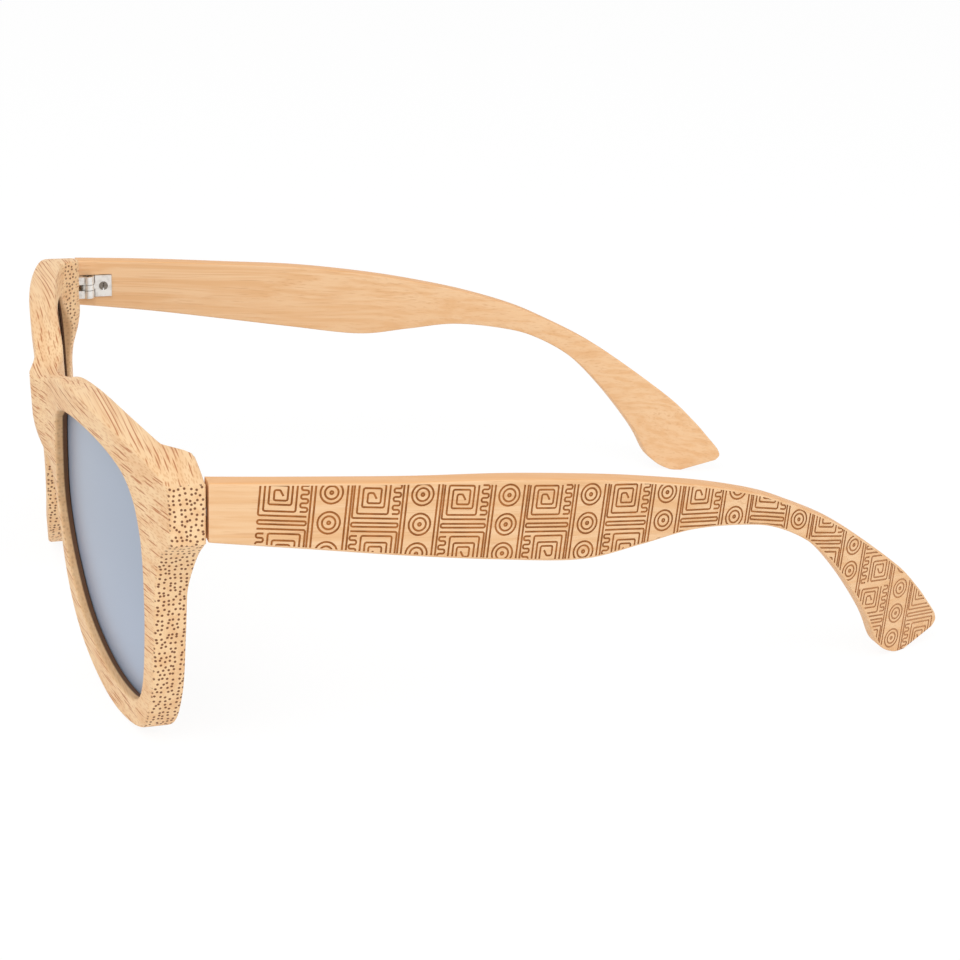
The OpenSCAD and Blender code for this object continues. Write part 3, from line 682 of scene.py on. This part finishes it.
def engraved_face():
    """The outer face as triangles: land at the surface, and floors and walls of the lines."""
    upper = [temple_yz(row, row[2] * TEMPLE_H / 2 - TEMPLE_EDGE) for row in TEMPLE_ROWS]
    lower = [temple_yz(row, TEMPLE_EDGE - row[2] * TEMPLE_H / 2) for row in TEMPLE_ROWS]
    top_y, top_z = np.array(upper).T
    low_y, low_z = np.array(lower).T

    def inside(spot, slack):
        low = np.interp(spot[0], low_y, low_z, left=FAR_OFF)
        top = np.interp(spot[0], top_y, top_z, right=-FAR_OFF)
        return low - slack < spot[1] < top + slack

    flat = [Vector(p) for p in lower + upper[::-1]]
    polygons = [list(range(len(flat)))]
    for outline in ornament_outlines():
        spots = [ornament_yz(*p) for p in outline]
        if any(inside(spot, LINE_W) for spot in spots):
            (ay, az), (by, bz), (cy, cz) = spots[:3]
            turned = (by - ay) * (cz - bz) - (bz - az) * (cy - by) < 0
            polygons.append(list(range(len(flat), len(flat) + len(spots))))
            flat += [Vector(spot) for spot in (spots[::-1] if turned else spots)]
    for y in np.arange(0.75 * FACE_GRID, TEMPLE_REACH, FACE_GRID):
        heights = np.arange(0.25 * FACE_GRID, FACE_TOP, FACE_GRID)
        flat += [Vector((y, z)) for z in heights if inside((y, z), -GRID_MARGIN)]
    verts, _, faces, _, _, origins = delaunay_2d_cdt(flat, [], polygons, 0, FACE_EPSILON)
    points = [(outer_x(v[0]), v[0], v[1]) for v in verts]
    deep, triangles, marks, edges = {}, [], [], {}
    for face, origin in zip(faces, origins):
        if 0 not in origin:
            continue
        if len(origin) == 1:
            triangles.append(tuple(face))
            marks.append(0)
            continue
        for v in face:
            if v not in deep:
                deep[v] = len(points)
                points.append((points[v][0] - LINE_DEPTH, *points[v][1:]))
        triangles.append(tuple(deep[v] for v in face))
        marks.append(1)
        for a, b in zip(face, list(face[1:]) + [face[0]]):
            edges[(a, b)] = True
    for a, b in edges:
        if (b, a) not in edges:
            triangles.append((a, b, deep[b], deep[a]))
            marks.append(1)
    return points, triangles, marks


FACE_WELD, SEAM_SLACK, FACE_SHARP = 0.005 * MM, 0.03 * MM, math.radians(30)


def close_seam(shape):
    """Splits each open edge at the corners that lie on it, so that both sides of the seam weld."""
    seam = [e for e in shape.edges if e.is_boundary]
    ends = np.array([[v.co for v in e.verts] for e in seam])
    along = ends[:, 1] - ends[:, 0]
    length = np.linalg.norm(along, axis=1)
    splits = {}
    for corner in dict.fromkeys(v for e in seam for v in e.verts):
        spot = np.array(corner.co)
        share = ((spot - ends[:, 0]) * along).sum(axis=1) / length ** 2
        miss = np.linalg.norm(ends[:, 0] + along * share[:, None] - spot, axis=1)
        inner = np.minimum(share, 1 - share) * length > FACE_WELD
        for k in np.nonzero((miss < SEAM_SLACK) & inner)[0]:
            splits.setdefault(k, []).append((share[k], tuple(spot)))
    for k, spots in splits.items():
        start = seam[k].verts[0]
        for _, spot in sorted(spots):
            start = bmesh.utils.edge_split(seam[k], start, 0.5)[1]
            start.co = spot


PLATE_L, OUTER_SLACK = 3.4, 0.002
PLATE_END_Y = PIVOT_Y + KNUCKLE_R + PLATE_L + 3 * LEAF_FIT
face_points, face_triangles, face_marks = engraved_face()
for side, name, body in ((1, "temple_left", "left_temple"), (-1, "temple_right", "right_temple")):
    flip = np.array([side, 1, 1])
    board = mesh_object(name + "_wood", np.array(body_points) * flip, body_faces, [temple_wood, temple_burn])
    finish_mesh(board)
    pocket = sorted((side * (PIVOT_X - TEMPLE_T), side * LEAF_X[1]))
    cut_box(board, (pocket[0], -JOINT_GAP, POCKET_Z[0]), (pocket[1], PLATE_END_Y, POCKET_Z[1]))
    shape = bmesh.new()
    shape.from_mesh(board.data)
    outer = []
    for f in shape.faces:
        spots = [v.co / MM for v in f.verts]
        if all(abs(side * p.x - outer_x(p.y - JOINT_Y)) < OUTER_SLACK for p in spots):
            outer.append(f)
    bmesh.ops.delete(shape, geom=outer, context="FACES")
    corners = [shape.verts.new((x * side * MM, (y + JOINT_Y) * MM, z * MM)) for x, y, z in face_points]
    for triangle, mark in zip(face_triangles, face_marks):
        made = shape.faces.new([corners[v] for v in (triangle if side > 0 else triangle[::-1])])
        made.material_index = mark
    loose = [v for v in shape.verts if not v.link_faces]
    bmesh.ops.delete(shape, geom=loose, context="VERTS")
    bmesh.ops.remove_doubles(shape, verts=shape.verts, dist=FACE_WELD)
    close_seam(shape)
    shape.to_mesh(board.data)
    shape.free()
    finish_mesh(board, weld=FACE_WELD, sharp=FACE_SHARP)
    marks = board.data.attributes.new("rim", "FLOAT", "FACE")
    facing = [abs(f.normal.z) for f in board.data.polygons]
    marks.data.foreach_set("value", np.array(facing, np.float32))
    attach(board, body)
    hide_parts(name)

# Hinges: small leaves of brushed silvery metal let into the wood and held by slotted screws.
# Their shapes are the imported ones, and only their metal is made here.
SILVER, SILVER_WORN = tint(240, 238, 234), tint(222, 219, 214)
STEEL, STEEL_DARK = tint(150, 142, 132), tint(120, 112, 104)
paint = Paint("hinge_metal")
x, y, z = paint.place()
brushed = paint.noise(paint.at(x * 2.0, y * 2.0, z * 30.0), 2.0)
worn = paint.noise(paint.at(x * 0.9, y * 0.9, z * 0.9), 2.0)
paint.set(Base_Color=paint.mix(worn.step(0.4, 0.7), SILVER, SILVER_WORN))
paint.set(Metallic=0.9, Roughness=0.3 + brushed * 0.15)
hinge_metal = paint.material
paint = Paint("screw_metal")
x, y, z = paint.place()
turned = paint.noise(paint.at(x * 6.0, y * 6.0, z * 6.0), 2.0)
paint.set(Base_Color=paint.mix(turned.step(0.3, 0.7), STEEL, STEEL_DARK))
paint.set(Metallic=0.9, Roughness=0.35 + turned * 0.1)
screw_metal = paint.material
for name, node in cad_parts.items():
    if "hinge" in name:
        node.data.materials.clear()
        node.data.materials.append(screw_metal if "screw" in name else hinge_metal)

# Floor, light and camera: white ground with a faint shadow, even soft light, and the photo's view.
# Camera and mirror rays see plain white, and the rest of the light is softer.
WHITE = (1, 1, 1, 1)
FLOOR, FLOOR_GLOW, FLOOR_GLOW_SHARE, SOFT_LIGHT = 4000.0, 1.03, 0.88, 0.62


def seen_rays(net):
    """1 for the rays that come from the camera or from a mirror, and 0 for the others."""
    camera_ray = net.node("ShaderNodeLightPath", {})
    mirror_ray = camera_ray.beside("Is Glossy Ray")
    return net.node("ShaderNodeMath", {"operation": "MAXIMUM"}, camera_ray, mirror_ray)


paint = Paint("floor_white")
lit = paint.node("ShaderNodeBsdfDiffuse", {}, tint(250, 250, 250))
glow = paint.node("ShaderNodeEmission", {}, WHITE, FLOOR_GLOW)
mixed = paint.node("ShaderNodeMixShader", {}, seen_rays(paint) * FLOOR_GLOW_SHARE, lit, glow)
paint.join(mixed, paint.tree.nodes["Material Output"].inputs["Surface"])
corners = [(-FLOOR, -FLOOR, 0), (FLOOR, -FLOOR, 0), (FLOOR, FLOOR, 0), (-FLOOR, FLOOR, 0)]
floor = mesh_object("floor", corners, [(0, 1, 2, 3)], [paint.material])

world = bpy.data.worlds.new("studio")
scene.world = world
world.use_nodes = True
net = Net(world.node_tree)
net.tree.nodes.remove(net.tree.nodes["Background"])
soft_light = net.node("ShaderNodeBackground", {}, WHITE, SOFT_LIGHT)
plain_white = net.node("ShaderNodeBackground", {}, WHITE, 1.0)
mixed = net.node("ShaderNodeMixShader", {}, seen_rays(net), soft_light, plain_white)
net.join(mixed, net.tree.nodes["World Output"].inputs["Surface"])

# Lamps: name, place in metres, watts and width
LIGHT_AIM = Vector((0, 0, 0.03))
LAMPS = (("key", (0.5, -0.5, 0.9), 5.0, 0.8), ("fill", (0.7, 0.6, 0.6), 2.4, 0.9))
for name, spot, watts, wide in LAMPS:
    lamp = bpy.data.lights.new(name, "AREA")
    lamp.energy = watts
    lamp.size = wide
    holder = bpy.data.objects.new(name, lamp)
    holder.location = spot
    holder.rotation_euler = (LIGHT_AIM - Vector(spot)).to_track_quat("-Z", "Y").to_euler()
    scene.collection.objects.link(holder)

CAMERA_AT = Vector((344.945, -115.032, 148.523)) * MM
CAMERA_RIGHT = Vector((0.31513, 0.94816, 0.04112))
CAMERA_BACK = Vector((0.89021, -0.31033, 0.3335))
CAMERA_LENS, CAMERA_SENSOR = 76.02, 36.0
lens = bpy.data.cameras.new("photo_view")
lens.lens = CAMERA_LENS
lens.sensor_width = CAMERA_SENSOR
lens.clip_start = 0.01
camera = bpy.data.objects.new("photo_view", lens)
back = CAMERA_BACK.normalized()
right = (CAMERA_RIGHT - CAMERA_RIGHT.dot(back) * back).normalized()
turn = Matrix((right, back.cross(right), back)).transposed()
camera.matrix_world = Matrix.Translation(CAMERA_AT) @ turn.to_4x4()
scene.collection.objects.link(camera)
scene.camera = camera
